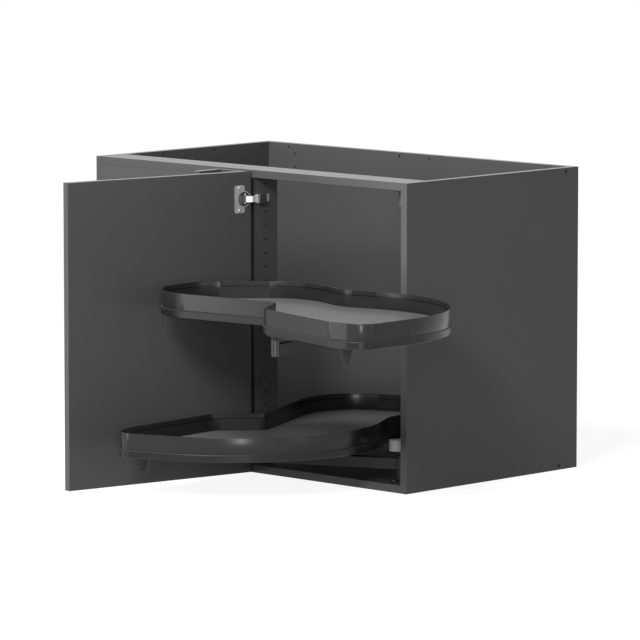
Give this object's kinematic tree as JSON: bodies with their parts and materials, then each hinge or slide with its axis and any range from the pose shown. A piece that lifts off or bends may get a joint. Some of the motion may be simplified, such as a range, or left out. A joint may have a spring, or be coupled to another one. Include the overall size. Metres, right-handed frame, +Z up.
{
  "type": "corner carousel cabinet",
  "caption": "Blind corner base cabinet with an open front door and two kidney-shaped railed trays that swing out on arms from a slim column.",
  "frame": {"origin": "centre of the cabinet's underside, on the floor", "axes": "+Z up, -Y out of the cabinet's front, +X to the right seen from the front"},
  "size_m": [1.3328, 1.0762, 0.7],
  "materials": {
    "melamine": "matt melamine-faced board",
    "tray_melamine": "satin melamine-faced board",
    "rail_lacquer": "glossy anthracite",
    "arm_steel": "satin grey",
    "column_steel": "satin grey",
    "bright_steel": "satin",
    "nickel": "nickel plated",
    "dark_plastic": "fine grain",
    "light_plastic": "smooth"
  },
  "bodies": {
    "cabinet": {"side_left": "melamine", "side_right": "melamine", "connectors_left": "dark_plastic", "connectors_right": "dark_plastic", "bottom_panel": "melamine", "back_panel": "melamine", "top_rail": "melamine", "blind_panel": "melamine", "hinge_post": "melamine", "filler_front": "melamine", "filler_return": "melamine", "hinge_plate_top": "nickel", "hinge_plate_bottom": "nickel", "hinge_plate_screws_top": "nickel", "hinge_plate_screws_bottom": "nickel", "hinge_arm_top": "nickel", "hinge_arm_bottom": "nickel", "column_tube": "column_steel", "column_foot": "column_steel", "column_head": "column_steel", "column_screws": "column_steel", "upper_collars": "dark_plastic", "lower_collars": "dark_plastic", "upper_stop_block": "light_plastic", "lower_stop_block": "light_plastic"},
    "door": {"door_panel": "melamine", "hinge_cup_top": "nickel", "hinge_cup_bottom": "nickel", "hinge_pin_top": "nickel", "hinge_pin_bottom": "nickel", "hinge_cup_screws_top": "nickel", "hinge_cup_screws_bottom": "nickel"},
    "upper_arm": {"upper_arm_beam": "arm_steel", "upper_hub_bush": "bright_steel", "upper_arm_tip": "bright_steel"},
    "upper_tray": {"upper_tray_pin": "bright_steel", "upper_pivot_plate": "arm_steel", "upper_plate_screws": "bright_steel", "upper_tray_board": "tray_melamine", "upper_rail_seat": "dark_plastic", "upper_rim_rail": "rail_lacquer", "upper_knob": "dark_plastic"},
    "lower_arm": {"lower_arm_beam": "arm_steel", "lower_hub_bush": "bright_steel", "lower_arm_tip": "bright_steel"},
    "lower_tray": {"lower_tray_pin": "bright_steel", "lower_pivot_plate": "arm_steel", "lower_plate_screws": "bright_steel", "lower_tray_board": "tray_melamine", "lower_rail_seat": "dark_plastic", "lower_rim_rail": "rail_lacquer", "lower_knob": "dark_plastic"}
  },
  "joints": [
    {"name": "door_swing", "type": "hinge", "parent": "cabinet", "child": "door", "pos_m": [0.0047, -0.3018, 0.35], "axis": [0, 0, -1], "range_deg": [0, 8]},
    {"name": "upper_arm_swing", "type": "hinge", "parent": "cabinet", "child": "upper_arm", "pos_m": [0.45, -0.241, 0.3665], "axis": [0, 0, 1], "range_deg": [-15, 0]},
    {"name": "upper_tray_turn", "type": "hinge", "parent": "upper_arm", "child": "upper_tray", "pos_m": [0.5038, -0.71325, 0.38], "axis": [0, 0, 1], "range_deg": [-17, 0.5]},
    {"name": "lower_arm_swing", "type": "hinge", "parent": "cabinet", "child": "lower_arm", "pos_m": [0.45, -0.241, 0.0603], "axis": [0, 0, 1], "range_deg": [0, 20]},
    {"name": "lower_tray_turn", "type": "hinge", "parent": "lower_arm", "child": "lower_tray", "pos_m": [0.02079, -0.44517, 0.074], "axis": [0, 0, 1], "range_deg": [-15.5, 0.5]}
  ],
  "couplings": [
    {"joint": "upper_tray_turn", "follows": "upper_arm_swing", "ratio": 1.1},
    {"joint": "lower_tray_turn", "follows": "lower_arm_swing", "ratio": -0.75}
  ]
}
